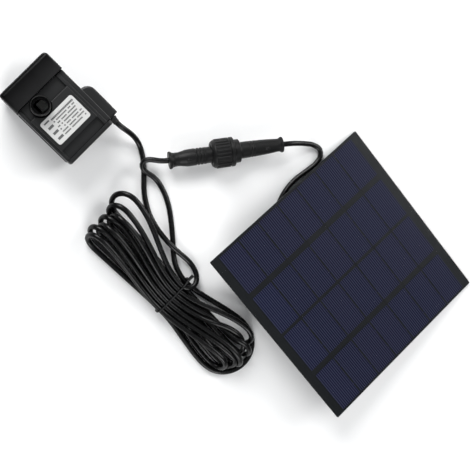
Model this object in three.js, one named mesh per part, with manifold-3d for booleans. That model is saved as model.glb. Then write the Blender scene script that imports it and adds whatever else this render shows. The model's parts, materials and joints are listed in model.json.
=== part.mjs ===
// Solar fountain pump: a small brushless pump, its cable folded into a hank, a screw-lock
// connector and a flat solar panel that rests on its junction box. Millimetres, +Z up, and
// z = 0 is the surface that everything stands on. +X runs along the pump, from its strainer
// to its rear cover. The origin is under the middle of the pump and panel together.

import * as THREE from 'three';
import { mergeVertices } from 'three/addons/utils/BufferGeometryUtils.js';
import Module from 'manifold-3d';

const wasm = await Module();
wasm.setup();

// Driving dimensions

const gap = 0.3;                       // left between pieces that touch

const pump = {
  corner: [-166.3, -80.7],             // front left corner of the hood on the table
  width: 41,
  underside: 4,                        // height of the flat base, held up by the suction cups
  hoodLength: 15.2, hoodTop: 33,
  bodyInset: 0.6,                      // the body is this much narrower than the hood each side
  shelfEnd: 25.2, shelfTop: 28.2,
  blockEnd: 52.2, blockTop: 31.5,
  bodyEnd: 59.4, rearStepTop: 28,
  leftRail: 2.6, rightRail: 5.9, railTop: 30.2,
  skirt: 0.6, skirtTop: 7,
};

const rotor = {
  y: pump.width / 2, z: 16,            // the axis that the impeller spins on
  shaftRadius: 1, bore: 1.3,
  recess: 10.8, recessEnd: 18.5,       // counterbore that takes the impeller cover
  chamber: 9.5, chamberEnd: 27,
  pocket: 7.2, pocketWall: 1.2, pocketEnd: 47,
  magnet: 6.6, magnetLength: 17,
  impeller: 8.6, blades: 6,
};

const outlet = { x: 22.8, y: 13.8, bore: 5.5, outer: 6.5, collar: 7.1, rise: 12, throat: 4.6 };

const cableBox = { start: 32, end: 59.4, out: 7.2, corner: 6.5, bottom: 9.5, top: 18.5, axis: 42.4 };

const cups = { radius: 6, inset: 9, front: 24, rear: 53.5 };

const label = { x: [30.5, 48.8], y: [4.7, 32.9], thickness: 0.2, corner: 1.6 };

const cable = { radius: 1.9, sides: 8 };

const connector = {
  start: [-59.6, -31.3, 10.3],         // centre of the plug's cable end
  yaw: 53,                             // degrees from +X
  length: 80.7,
  nut: [29.8, 45.4], nutRadius: 10.2,
  nose: 44, noseRadius: 5.5,
};

const panel = {
  edge: [94.13, 72.7],                 // middle of the edge that lies on the table
  yaw: -5.92,                          // degrees
  side: 145,
  board: 1.5, cell: 0.25, laminate: 0.8,
  rows: [1.9, 38.8, 73.7, 110.6],      // near side of each string, from one edge of the panel
  rowWidth: 32.5,
  columns: 7, pitch: 18.9, cellWidth: 17.9, margin: 6.8,
};

const box = { near: 85, length: 40, width: 44, depth: 13.9, wall: 1.6, lid: 1.8 };

const boxBottom = gap + box.depth;
const panelTilt = Math.atan2(boxBottom, box.near);   // the panel leans on its junction box

// The cable's free stretches. Each list is the cable's middle line.

const pumpLeadRoute = [
  [-102.1, -38.3, 14], [-98.6, -38.2, 13.8], [-93.5, -37.0, 11.4], [-87.5, -36.2, 7.0],
  [-81.6, -36.9, 3.4], [-76.4, -39.4, 2.1], [-71.2, -43.0, 2.0], [-66.3, -47.4, 2.0],
  [-61.8, -52.0, 2.0], [-57.2, -56.6, 2.0], [-50.6, -61.8, 2.0], [-41.2, -66.8, 2.0],
  [-31.2, -69.8, 3.6], [-23.6, -71.0, 5.8], [-16.4, -71.4, 6.2], [-8.0, -71.0, 4.4],
  [0.4, -70.6, 2.8], [7.6, -72.0, 3.2], [12.2, -75.2, 4.8], [14.2, -79.4, 5.4],
];

const plugLeadRoute = [
  [-59.8, -31.5, 10.3], [-61.2, -33.2, 10.3], [-63.6, -35.6, 10.2], [-66.6, -38.1, 10.0],
  [-69.5, -40.3, 9.5], [-70.8, -41.9, 9.0], [-71.1, -43.9, 8.4], [-70.3, -45.8, 7.7],
  [-68.7, -47.0, 7.0], [-66.8, -47.3, 6.3], [-64.6, -47.1, 5.9], [-61.8, -46.6, 4.7],
  [-58.3, -46.0, 3.1], [-53.8, -46.1, 2.1], [-48.1, -47.6, 2.0], [-41.1, -50.5, 2.0],
  [-33.9, -54.9, 2.0], [-25.2, -61.7, 2.0], [-16.8, -69.0, 2.0], [-11.0, -74.2, 2.1],
  [-6.2, -78.1, 2.8],
];

const panelLeadRoute = [
  [-10.8, 33.4, 10.3], [-8.9, 35.9, 10.2], [-4.6, 40.8, 8.8], [0.9, 46.2, 5.6],
  [6.6, 50.6, 2.9], [12.2, 52.0, 2.0], [16.4, 48.4, 2.0], [17.4, 41.6, 2.0],
  [16.2, 33.4, 2.0], [14.8, 25.0, 2.0], [14.9, 16.4, 2.0], [16.8, 7.4, 2.0],
  [20.8, -2.2, 2.0], [26.8, -11.4, 2.2], [34.4, -19.4, 3.4], [43.0, -25.4, 6.2],
  [51.2, -28.5, 9.4], [56.3, -29.3, 10.4],
];

const hank = { waist: [7.6, -95.2], bottom: 1.5, waistTop: 9.1, lobeTop: 16, lobes: [-24, 34] };

// Materials

function finish(color, roughness, metalness = 0) {
  return new THREE.MeshStandardMaterial({ color, roughness, metalness });
}

const shellBlack = finish(0x16171a, 0.42);
const hoodBlack = finish(0x101113, 0.35);
const rubberBlack = finish(0x18181a, 0.7);
const cableBlack = finish(0x131314, 0.5);
const nutBlack = finish(0x1c1c1e, 0.6);
const impellerWhite = finish(0xd8d8d2, 0.4);
const magnetGrey = finish(0x3a3a3d, 0.6, 0.3);
const ceramic = finish(0xe8e4da, 0.25);
const laminationSteel = finish(0x8a8c90, 0.45, 0.8);
const copper = finish(0xb4602e, 0.35, 0.9);
const boardGreen = finish(0x1e5a38, 0.5);
const chipBlack = finish(0x1a1a1a, 0.5);
const resin = finish(0x0e0e10, 0.3);
const paper = finish(0xf2f2ee, 0.6);
const brass = finish(0xc9a24a, 0.3, 0.9);
const boardBlack = finish(0x222528, 0.5);
const silicon = finish(0x23264c, 0.3, 0.2);
const clearFilm = finish(0x2a2d3c, 0.15);
const boxBlack = finish(0x1b1b1d, 0.5);
const tieBlack = finish(0x202022, 0.5);

// Shape helpers

function solid(geometry) {
  const bare = geometry.clone();
  bare.deleteAttribute('normal');
  bare.deleteAttribute('uv');
  const merged = mergeVertices(bare, 1e-4);
  const index = merged.index.array;
  const faces = [];
  for (let i = 0; i < index.length; i += 3) {
    const [a, b, c] = [index[i], index[i + 1], index[i + 2]];
    if (a !== b && b !== c && c !== a) faces.push(a, b, c);
  }
  return new wasm.Manifold(new wasm.Mesh({
    numProp: 3,
    vertProperties: new Float32Array(merged.attributes.position.array),
    triVerts: new Uint32Array(faces),
  }));
}

function surface(manifold) {
  const mesh = manifold.getMesh();
  const geometry = new THREE.BufferGeometry();
  geometry.setAttribute('position', new THREE.BufferAttribute(mesh.vertProperties, 3));
  geometry.setIndex(new THREE.BufferAttribute(mesh.triVerts, 1));
  geometry.computeVertexNormals();
  return geometry;
}

function join(...geometries) {
  return surface(geometries.map(solid).reduce((whole, piece) => whole.add(piece)));
}

function cut(body, ...tools) {
  return surface(tools.map(solid).reduce((whole, tool) => whole.subtract(tool), solid(body)));
}

// A box between two corners
function block(low, high) {
  const size = low.map((value, i) => high[i] - value);
  const middle = low.map((value, i) => (value + high[i]) / 2);
  return new THREE.BoxGeometry(...size).translate(...middle);
}

// A solid of revolution about +Z from [radius, height] pairs, given anticlockwise
function turned(profile, segments = 32) {
  const points = profile.map(([radius, height]) => new THREE.Vector2(radius, height));
  return new THREE.LatheGeometry(points, segments).rotateX(Math.PI / 2);
}

function ring(inner, outer, low, high, segments = 32) {
  const profile = [[inner, low], [outer, low], [outer, high], [inner, high], [inner, low]];
  return turned(profile, segments);
}

function rod(radius, low, high, segments = 32) {
  return turned([[0, low], [radius, low], [radius, high], [0, high]], segments);
}

// Turns a shape made along +Z to lie along +X
function alongX(geometry) {
  return geometry.rotateY(Math.PI / 2);
}

// A shape made along +X, moved onto the rotor's axis
function onRotorAxis(geometry) {
  return alongX(geometry).translate(0, rotor.y, rotor.z);
}

// A rectangle with a radius on each corner: front left, front right, rear right, rear left
function roundedOutline(x0, y0, x1, y1, [frontLeft, frontRight, rearRight, rearLeft]) {
  const shape = new THREE.Shape();
  shape.moveTo(x0 + frontLeft, y0);
  shape.lineTo(x1 - rearLeft, y0);
  if (rearLeft) shape.absarc(x1 - rearLeft, y0 + rearLeft, rearLeft, -Math.PI / 2, 0);
  shape.lineTo(x1, y1 - rearRight);
  if (rearRight) shape.absarc(x1 - rearRight, y1 - rearRight, rearRight, 0, Math.PI / 2);
  shape.lineTo(x0 + frontRight, y1);
  if (frontRight) {
    shape.absarc(x0 + frontRight, y1 - frontRight, frontRight, Math.PI / 2, Math.PI);
  }
  shape.lineTo(x0, y0 + frontLeft);
  if (frontLeft) shape.absarc(x0 + frontLeft, y0 + frontLeft, frontLeft, Math.PI, 1.5 * Math.PI);
  return shape;
}

function slab(shape, low, high, curveSegments = 6) {
  const options = { depth: high - low, bevelEnabled: false, curveSegments };
  return new THREE.ExtrudeGeometry(shape, options).translate(0, 0, low);
}

function polygon(radius, sides) {
  const points = [];
  for (let i = 0; i < sides; i++) {
    const angle = (i + 0.5) * 2 * Math.PI / sides;
    points.push(new THREE.Vector2(radius * Math.cos(angle), radius * Math.sin(angle)));
  }
  return new THREE.Shape(points);
}

function piece(parent, name, geometry, material) {
  const mesh = new THREE.Mesh(geometry, material);
  mesh.name = name;
  parent.add(mesh);
  return mesh;
}

// Pump

function pumpHousing() {
  const left = pump.bodyInset;
  const right = pump.width - pump.bodyInset;
  const front = pump.hoodLength + gap;
  const base = pump.underside;
  const inner = [left + pump.leftRail, right - pump.rightRail];
  const boxOuter = right + cableBox.out;
  let shell = join(
    block([front, left, base], [pump.bodyEnd, right, pump.rearStepTop]),
    block([front, left, base], [pump.bodyEnd, inner[0], pump.railTop - 1]),
    block([front, inner[1], base], [pump.bodyEnd, right - 3.2, pump.railTop]),
    block([front, right - 3.2, base], [pump.bodyEnd, right, pump.railTop - 1.4]),
    block([pump.shelfEnd, inner[0] - 0.2, base], [pump.blockEnd, inner[1] + 0.2, pump.blockTop]),
    block([front, left - pump.skirt, base],
      [pump.bodyEnd, right + pump.skirt, pump.skirtTop]),
    slab(roundedOutline(cableBox.start, right - 1, cableBox.end, boxOuter,
      [0, cableBox.corner, 0.6, 0]), cableBox.bottom, cableBox.top),
  );
  const cavity = block([28.5, 3, 5.6], [pump.bodyEnd + 1, 38, 25.8]);
  const pocketOuter = rotor.pocket + rotor.pocketWall;
  const pocketTube = onRotorAxis(rod(pocketOuter, rotor.chamberEnd, rotor.pocketEnd + 1.5, 28));
  shell = join(cut(shell, cavity), pocketTube);
  const throatTop = pump.shelfTop + 4;
  return cut(shell,
    onRotorAxis(rod(rotor.recess, front - 1, rotor.recessEnd, 36)),
    onRotorAxis(rod(rotor.chamber, rotor.recessEnd - 0.5, rotor.chamberEnd, 32)),
    onRotorAxis(rod(rotor.pocket, rotor.chamberEnd - 0.5, rotor.pocketEnd, 28)),
    rod(outlet.throat, rotor.z, throatTop, 24).translate(outlet.x, outlet.y, 0),
    rod(outlet.collar + gap, pump.shelfTop, throatTop, 32).translate(outlet.x, outlet.y, 0),
    alongX(rod(2.6, cableBox.end - 5, cableBox.end + 1, 16))
      .translate(0, cableBox.axis, (cableBox.bottom + cableBox.top) / 2),
  );
}

function rearCover() {
  const outline = roundedOutline(pump.bodyInset, pump.underside,
    pump.width - 1.8, 30.6, [2, 2, 2, 2]);
  return slab(outline, 0, 2.6, 4).applyMatrix4(new THREE.Matrix4().makeBasis(
    new THREE.Vector3(0, 1, 0), new THREE.Vector3(0, 0, 1), new THREE.Vector3(1, 0, 0),
  )).translate(pump.bodyEnd + gap, 0, 0);
}

// The hood over the intake: rounded along its top edges, slotted in front, open at the rear
function strainerCover() {
  const { hoodLength: length, width, underside: base, hoodTop: top } = pump;
  const wall = 1.6;
  const steps = 3;
  const edge = 4.4;
  const corners = [1.6, 3, 0, 0];
  const layers = [slab(roundedOutline(0, 0, length, width, corners), base, top - edge, 5)];
  for (let i = 0; i < steps; i++) {
    const angle = (i + 1) / steps * Math.PI / 2;
    const inset = edge * (1 - Math.cos(angle));
    const low = top - edge + edge * Math.sin(i / steps * Math.PI / 2);
    const high = top - edge + edge * Math.sin(angle);
    const outline = roundedOutline(inset, inset, length, width - inset, corners);
    layers.push(slab(outline, low - 0.1, high, 5));
  }
  const inside = slab(roundedOutline(wall, wall, length + 1, width - wall, [1, 2, 0, 0]),
    base + wall, top - edge - 0.4, 4);
  const slots = [];
  const count = 7;
  for (let i = 0; i < count; i++) {
    const y = width / 2 + (i - (count - 1) / 2) * 4.8;
    slots.push(block([-1, y - 1, base + 4], [wall + 1, y + 1, top - 8]));
  }
  return cut(join(...layers), inside, ...slots);
}

function impellerCover() {
  const disc = ring(5, rotor.recess - gap, 15.8, 17.4, 32);
  const hub = ring(1.9, 2.8, 15.8, 17.4, 20);
  const spokes = [0, 1, 2].map((i) => block([2.3, -0.6, 15.8], [5.4, 0.6, 17.4])
    .rotateZ(i * 2 * Math.PI / 3));
  return onRotorAxis(join(disc, hub, ...spokes));
}

function impeller() {
  const blades = [];
  for (let i = 0; i < rotor.blades; i++) {
    blades.push(block([2.6, -0.6, 19.2], [rotor.impeller, 0.6, 25.2])
      .rotateZ(i * 2 * Math.PI / rotor.blades));
  }
  const hub = ring(rotor.bore, 3.2, 19.2, 26.2, 20);
  const plate = ring(2.2, rotor.impeller, 25, 26.2, 28);
  return onRotorAxis(join(hub, plate, ...blades));
}

// Two salient poles inside a rectangular frame of laminations, around the rotor's pocket
function statorCore() {
  const frame = new THREE.Shape();
  frame.moveTo(-9.8, -17).lineTo(9.8, -17).lineTo(9.8, 17).lineTo(-9.8, 17);
  const window = new THREE.Path();
  window.moveTo(-8.8, -15.2).lineTo(-8.8, 15.2).lineTo(8.8, 15.2).lineTo(8.8, -15.2);
  frame.holes.push(window);
  const shoe = (turn) => {
    const half = 0.9;
    const outline = new THREE.Shape();
    outline.absarc(0, 0, 10.3, turn - half, turn + half, false);
    outline.absarc(0, 0, 8.7, turn + half, turn - half, true);
    return slab(outline, 33, 43, 5);
  };
  const stems = [-1, 1].map((side) => block([-3.2, Math.min(side * 9.4, side * 15.6), 33],
    [3.2, Math.max(side * 9.4, side * 15.6), 43]));
  const shoes = [-1, 1].map((side) => shoe(side * Math.PI / 2));
  return onRotorAxis(join(slab(frame, 33, 43), ...stems, ...shoes));
}

function coil(side) {
  const outer = roundedOutline(29.8, -6.4, 46.2, 6.4, [2, 2, 2, 2]);
  outer.holes.push(new THREE.Path([
    new THREE.Vector2(32.6, -3.6), new THREE.Vector2(32.6, 3.6),
    new THREE.Vector2(43.4, 3.6), new THREE.Vector2(43.4, -3.6),
  ]));
  const near = 10.8;
  const far = 14.8;
  const body = slab(outer, side > 0 ? near : -far, side > 0 ? far : -near, 3);
  // the winding lies across the pump, so its depth runs along Y
  return body.applyMatrix4(new THREE.Matrix4().makeBasis(
    new THREE.Vector3(1, 0, 0), new THREE.Vector3(0, 0, -1), new THREE.Vector3(0, 1, 0),
  )).translate(0, rotor.y, rotor.z);
}

function suctionCup() {
  const { radius } = cups;
  return turned([
    [0, 1.4], [radius - 2, 1.0], [radius - 0.9, 0], [radius, 0], [radius, 0.6],
    [2.6, 2.4], [2.2, 3.7], [0, 3.7],
  ], 24);
}

function buildPump() {
  const group = new THREE.Group();
  group.position.set(...pump.corner, 0);
  const shaftEnds = [16, 46.4];
  const middleZ = (cableBox.bottom + cableBox.top) / 2;

  piece(group, 'pump_housing', pumpHousing(), shellBlack);
  piece(group, 'rear_cover', rearCover(), shellBlack);
  piece(group, 'strainer_cover', strainerCover(), hoodBlack);
  piece(group, 'impeller_cover', impellerCover(), shellBlack);
  piece(group, 'chamber_seal', onRotorAxis(ring(9.7, 10.5, 17.6, 18.3, 28)), rubberBlack);
  piece(group, 'impeller', impeller(), impellerWhite);
  piece(group, 'rotor_magnet', onRotorAxis(
    ring(rotor.bore, rotor.magnet, 26.5, 26.5 + rotor.magnetLength, 24)), magnetGrey);
  piece(group, 'rotor_shaft', onRotorAxis(rod(rotor.shaftRadius, ...shaftEnds, 16)), ceramic);
  piece(group, 'front_bush', onRotorAxis(ring(1.15, 1.75, 15.8, 17.6, 16)), rubberBlack);
  piece(group, 'rear_bush', onRotorAxis(ring(1.15, 3, 44.6, 46.7, 16)), rubberBlack);
  piece(group, 'stator_core', statorCore(), laminationSteel);
  piece(group, 'left_coil', coil(-1), copper);
  piece(group, 'right_coil', coil(1), copper);
  piece(group, 'driver_board', block([50.2, 5, 6.6], [51.6, 36, 25]), boardGreen);
  piece(group, 'driver_chip', block([51.9, 16, 12], [53.1, 22, 17]), chipBlack);
  piece(group, 'board_capacitor', alongX(rod(2, 0, 2.2, 16)).translate(51.9, 29, 15), chipBlack);
  piece(group, 'potting_resin', block([54.4, 3.3, 5.9], [pump.bodyEnd - gap, 37.7, 25.5]), resin);
  piece(group, 'outlet_nozzle', turned([
    [outlet.throat, pump.shelfTop + gap], [outlet.collar, pump.shelfTop + gap],
    [outlet.collar, pump.shelfTop + 2], [outlet.outer, pump.shelfTop + 2.6],
    [outlet.outer, pump.shelfTop + outlet.rise],
    [outlet.bore, pump.shelfTop + outlet.rise],
    [outlet.bore, pump.shelfTop + 2], [outlet.throat, pump.shelfTop + 2],
    [outlet.throat, pump.shelfTop + gap],
  ], 36).translate(outlet.x, outlet.y, 0), shellBlack);
  piece(group, 'cable_grommet', alongX(turned([
    [0, cableBox.end - 4.7], [2.3, cableBox.end - 4.7], [2.3, cableBox.end + gap],
    [2.8, cableBox.end + gap], [2.8, cableBox.end + 1.4], [2.3, cableBox.end + 4.5],
    [0, cableBox.end + 4.5],
  ], 20)).translate(0, cableBox.axis, middleZ), rubberBlack);
  piece(group, 'name_label', slab(roundedOutline(label.x[0], label.y[0], label.x[1], label.y[1],
    Array(4).fill(label.corner)), pump.blockTop + 0.1, pump.blockTop + 0.1 + label.thickness),
    paper);
  const cupX = [cups.front, cups.rear];
  const cupY = [cups.inset, pump.width - cups.inset];
  cupX.forEach((x, i) => cupY.forEach((y, j) => {
    piece(group, `suction_cup_${2 * i + j + 1}`, suctionCup().translate(x, y, 0), rubberBlack);
  }));
  return group;
}

// Connector: plug half, captive nut, seal and socket half, along +X from the plug's cable end

function plugBody() {
  const { noseRadius, nose } = connector;
  return alongX(turned([
    [0, 0], [6, 0], [6, 1.5], [4.8, 2.6], [4.8, 7], [5.8, 12], [5.8, 31.4],
    [7.3, 31.4], [7.3, 33.3], [noseRadius, 33.3], [noseRadius, nose], [0, nose],
  ], 28));
}

function lockNut() {
  const [start, end] = connector.nut;
  const radius = connector.nutRadius;
  return alongX(turned([
    [6.2, start], [radius - 1.4, start], [radius, start + 1.6], [radius, end],
    [7.9, end], [7.9, start + 1.3], [6.2, start + 1.3], [6.2, start],
  ], 32));
}

function socketBody() {
  const recess = connector.noseRadius + 0.4;
  const end = connector.length;
  const blank = alongX(turned([
    [recess, 35], [7.4, 35], [7.4, 45.8], [7.8, 45.8], [7.8, 49.6], [5.5, 50.4],
    [5.5, 62], [4.5, 76], [4.5, end - 2], [5.4, end - 1.4], [5.4, end], [0, end],
    [0, connector.nose + gap], [recess, connector.nose + gap], [recess, 35],
  ], 28));
  const holes = [-1, 1].map((side) => alongX(rod(1.9, connector.nose, 57, 16))
    .translate(0, side * 2.3, 0));
  return cut(blank, ...holes);
}

function buildConnectorHalves() {
  const plugHalf = new THREE.Group();
  const socketHalf = new THREE.Group();
  for (const half of [plugHalf, socketHalf]) {
    half.position.set(...connector.start);
    half.rotation.z = THREE.MathUtils.degToRad(connector.yaw);
  }
  const { nose, noseRadius } = connector;
  piece(plugHalf, 'plug_body', plugBody(), nutBlack);
  piece(plugHalf, 'lock_nut', lockNut(), nutBlack);
  piece(plugHalf, 'seal_ring', alongX(ring(noseRadius + gap, 7.2, 33.6, 34.7, 28)), rubberBlack);
  [-1, 1].forEach((side, i) => {
    piece(plugHalf, `plug_pin_${i + 1}`,
      alongX(rod(0.8, nose + gap, nose + 8, 12)).translate(0, side * 2.3, 0), brass);
    piece(socketHalf, `socket_contact_${i + 1}`,
      alongX(ring(1.1, 1.6, nose + 1, 56.5, 12)).translate(0, side * 2.3, 0), brass);
  });
  piece(socketHalf, 'socket_body', socketBody(), nutBlack);
  return [plugHalf, socketHalf];
}

// Panel: X across the strings, Y from the raised edge (-side) to the edge on the table (0)

function cellString(start) {
  const low = panel.board + gap;
  const high = low + panel.cell;
  const x = start - panel.side / 2;
  const first = panel.margin - panel.side;
  const cells = [];
  for (let i = 0; i < panel.columns; i++) {
    const y = first + i * panel.pitch;
    cells.push(block([x, y, low], [x + panel.rowWidth, y + panel.cellWidth, high]));
  }
  const last = first + (panel.columns - 1) * panel.pitch + panel.cellWidth;
  const ribbons = [0.25, 0.75].map((share) => {
    const middle = x + share * panel.rowWidth;
    return block([middle - 0.8, first + 1, low], [middle + 0.8, last - 1, high]);
  });
  return join(...cells, ...ribbons);
}

function junctionBox() {
  const half = box.width / 2;
  const far = -box.near - box.length;
  const top = -gap;
  const bottom = -gap - box.depth + box.lid + gap;
  const outline = roundedOutline(-half, far, half, -box.near, [2.5, 2.5, 2.5, 2.5]);
  const hollow = block([-half + box.wall, far + box.wall, bottom - 1],
    [half - box.wall, -box.near - box.wall, top - box.wall]);
  const tabWindow = block([-6, far + 6, top - box.wall - 1], [6, far + 12, top + 1]);
  const cableHole = alongX(rod(3.1, -half - 1, -half + box.wall + 1, 16))
    .translate(0, -box.near - box.length / 2, -7);
  return cut(slab(outline, bottom, top, 4), hollow, tabWindow, cableHole);
}

function buildPanel() {
  const half = box.width / 2;
  const far = -box.near - box.length;
  const group = new THREE.Group();
  group.position.set(...panel.edge, 0);
  group.rotation.order = 'ZXY';
  group.rotation.z = THREE.MathUtils.degToRad(panel.yaw);
  group.rotation.x = -panelTilt;

  const edge = panel.side / 2;
  const stack = panel.board + 2 * gap + panel.cell;
  piece(group, 'panel_board', block([-edge, -panel.side, 0], [edge, 0, panel.board]), boardBlack);
  panel.rows.forEach((start, i) => {
    piece(group, `cell_string_${i + 1}`, cellString(start), silicon);
  });
  piece(group, 'front_laminate', block([-edge, -panel.side, stack],
    [edge, 0, stack + panel.laminate]), clearFilm);
  piece(group, 'junction_box', junctionBox(), boxBlack);
  piece(group, 'junction_box_lid', slab(roundedOutline(-half, far, half, -box.near,
    [2.5, 2.5, 2.5, 2.5]), -boxBottom, -boxBottom + box.lid, 4), boxBlack);
  piece(group, 'blocking_diode', alongX(rod(1.5, -3, 3, 14)).translate(4, far + 24, -6), chipBlack);
  [-1, 1].forEach((side, i) => {
    piece(group, `terminal_tab_${i + 1}`,
      block([side * 3 - 1.2, far + 7, -8], [side * 3 + 1.2, far + 7.6, -gap - 0.1]), brass);
  });
  const gland = turned([
    [0, 0.6 - box.wall], [2.8, 0.6 - box.wall], [2.8, gap], [3.6, gap], [3.6, 1.8],
    [2.6, 4.6], [0, 4.6],
  ], 20).rotateY(-Math.PI / 2).translate(-half, -box.near - box.length / 2, -7);
  piece(group, 'panel_grommet', gland, rubberBlack);
  return group;
}

// Free cable and its hank

function cableAlong(route) {
  const curve = new THREE.CatmullRomCurve3(
    route.map((point) => new THREE.Vector3(...point)), false, 'centripetal');
  const steps = Math.round(curve.getLength() / (cable.radius * 2 * 2.2));
  return new THREE.ExtrudeGeometry(polygon(cable.radius, cable.sides),
    { steps, bevelEnabled: false, extrudePath: curve });
}

// Two round lobes, joined by the lower waist that the tie draws in
function hankSolid() {
  const outline = new THREE.Shape();
  outline.moveTo(-8, -80.9);
  outline.bezierCurveTo(-28, -79, -40, -68, -58, -67.8);
  outline.absarc(-58, -79, 11.2, Math.PI / 2, Math.PI, false);
  outline.lineTo(-66.4, -94);
  outline.absarc(-52.4, -97.4, 14, Math.PI, 1.5 * Math.PI, false);
  outline.bezierCurveTo(-36, -111.4, -20, -108.4, 7, -109.6);
  outline.bezierCurveTo(28, -111, 42, -117.2, 66, -117.2);
  outline.absarc(66, -101.4, 15.8, -Math.PI / 2, 0, false);
  outline.absarc(61.4, -93, 20.4, 0, Math.PI / 2, false);
  outline.bezierCurveTo(44, -72.6, 30, -79, 16, -80.2);
  const overWaist = block([hank.lobes[0], -120, hank.waistTop],
    [hank.lobes[1], -60, hank.lobeTop + 1]);
  return cut(slab(outline, hank.bottom, hank.lobeTop, 8), overWaist);
}

function twistTie() {
  const [x, y] = hank.waist;
  const wire = 1.1;
  const inner = [hank.bottom - gap, hank.waistTop + gap];
  const half = 15.1;
  const outer = roundedOutline(inner[0] - wire, -half - wire, inner[1] + wire, half + wire,
    [1.4, 1.4, 1.4, 1.4]);
  const hole = roundedOutline(inner[0], -half, inner[1], half, [0.6, 0.6, 0.6, 0.6]);
  outer.holes.push(hole);
  const band = slab(outer, -0.7, 0.7, 3).applyMatrix4(new THREE.Matrix4().makeBasis(
    new THREE.Vector3(0, 0, 1), new THREE.Vector3(0, 1, 0), new THREE.Vector3(-1, 0, 0),
  ));
  const twist = rod(1.1, half + wire - 0.3, half + 4.2, 8).rotateX(-Math.PI / 2)
    .translate(0, 0, hank.waistTop - 1.5);
  return join(band, twist).translate(x, y, 0);
}

const assembly = new THREE.Group();
const [plugHalf, socketHalf] = buildConnectorHalves();
assembly.add(buildPump(), plugHalf, socketHalf, buildPanel());
piece(assembly, 'pump_lead', cableAlong(pumpLeadRoute), cableBlack);
piece(assembly, 'plug_lead', cableAlong(plugLeadRoute), cableBlack);
piece(assembly, 'panel_lead', cableAlong(panelLeadRoute), cableBlack);
piece(assembly, 'cable_hank', hankSolid(), cableBlack);
piece(assembly, 'twist_tie', twistTie(), tieBlack);

export default assembly;
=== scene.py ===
# Solar fountain pump: a small black pump on suction feet, its cable folded into a hank, a
# screw-lock connector and a flat solar panel that leans on its junction box.
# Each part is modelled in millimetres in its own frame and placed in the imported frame's metres.
import json
import math

import bmesh
import bpy
import numpy as np
from mathutils import Matrix, Vector


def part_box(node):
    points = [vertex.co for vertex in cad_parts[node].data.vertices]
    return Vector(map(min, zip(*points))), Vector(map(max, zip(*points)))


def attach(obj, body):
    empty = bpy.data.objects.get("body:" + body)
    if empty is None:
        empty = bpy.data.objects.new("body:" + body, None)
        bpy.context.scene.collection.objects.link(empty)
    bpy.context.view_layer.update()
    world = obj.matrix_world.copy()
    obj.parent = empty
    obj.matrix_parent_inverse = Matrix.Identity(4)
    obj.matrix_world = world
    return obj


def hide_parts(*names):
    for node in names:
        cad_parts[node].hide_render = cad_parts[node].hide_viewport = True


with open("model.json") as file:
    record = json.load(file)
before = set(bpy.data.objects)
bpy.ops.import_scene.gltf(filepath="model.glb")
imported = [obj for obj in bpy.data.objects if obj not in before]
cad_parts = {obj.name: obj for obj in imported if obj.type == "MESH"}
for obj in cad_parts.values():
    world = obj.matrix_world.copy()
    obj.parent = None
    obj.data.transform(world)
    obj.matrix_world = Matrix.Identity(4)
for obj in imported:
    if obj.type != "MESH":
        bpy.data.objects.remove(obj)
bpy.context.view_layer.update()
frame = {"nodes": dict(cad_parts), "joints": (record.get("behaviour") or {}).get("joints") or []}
print("frame loaded with", len(frame["nodes"]), "nodes")

mm = 0.001
joints = {joint["name"]: joint for joint in frame["joints"]}
toMetres = Matrix.Scale(mm, 4)


# Camera, looking down on the set from the pump's side

viewpoint = {
    "position": (-0.11218, -0.09054, 0.61129),
    "target": (0.0116, -0.0343, 0.0),
    "up": (-0.69286, 0.71723, -0.07436),
    "lens": 67.7,
    "sensor": 36.0,
}


def addCamera(settings):
    data = bpy.data.cameras.new("viewCamera")
    data.lens = settings["lens"]
    data.sensor_width = settings["sensor"]
    camera = bpy.data.objects.new("viewCamera", data)
    bpy.context.scene.collection.objects.link(camera)
    back = (Vector(settings["position"]) - Vector(settings["target"])).normalized()
    right = Vector(settings["up"]).cross(back).normalized()
    turn = Matrix((right, back.cross(right), back)).transposed().to_4x4()
    camera.matrix_world = Matrix.Translation(settings["position"]) @ turn
    bpy.context.scene.camera = camera


addCamera(viewpoint)
print("camera placed")


# Shader maths. A Value stands for one socket, and an expression on Values adds the nodes.

class Value:
    def __init__(self, graph, socket):
        self.graph = graph
        self.socket = socket

    def maths(self, operation, first, second=0.0):
        return self.graph.node("ShaderNodeMath", {"operation": operation}, {0: first, 1: second})

    def __add__(self, other):
        return self.maths("ADD", self, other)

    def __radd__(self, other):
        return self.maths("ADD", other, self)

    def __sub__(self, other):
        return self.maths("SUBTRACT", self, other)

    def __rsub__(self, other):
        return self.maths("SUBTRACT", other, self)

    def __mul__(self, other):
        return self.maths("MULTIPLY", self, other)

    def __rmul__(self, other):
        return self.maths("MULTIPLY", other, self)

    def __truediv__(self, other):
        return self.maths("DIVIDE", self, other)

    def __rtruediv__(self, other):
        return self.maths("DIVIDE", other, self)

    def __lt__(self, other):
        return self.maths("LESS_THAN", self, other)

    def __gt__(self, other):
        return self.maths("GREATER_THAN", self, other)

    def __mod__(self, other):
        return self.maths("FLOORED_MODULO", self, other)

    def __abs__(self):
        return self.maths("ABSOLUTE", self)

    def floor(self):
        return self.maths("FLOOR", self)


class Graph:
    def __init__(self, tree):
        self.tree = tree

    # any node: its type, then its settings, then its sockets' values or links
    def node(self, kind, settings, inputs, output=0):
        made = self.tree.nodes.new(kind)
        for setting, value in settings.items():
            if setting == "stops":
                for element, (position, colour) in zip(made.color_ramp.elements, value):
                    element.position = position
                    element.color = (*colour, 1)
            else:
                setattr(made, setting, value)
        for key, value in inputs.items():
            self.feed(made.inputs[key], value)
        return Value(self, made.outputs[output])

    def feed(self, socket, value):
        if isinstance(value, Value):
            self.tree.links.new(value.socket, socket)
        elif socket.type == "RGBA" and len(value) == 3:
            socket.default_value = (*value, 1)
        else:
            socket.default_value = value


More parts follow.
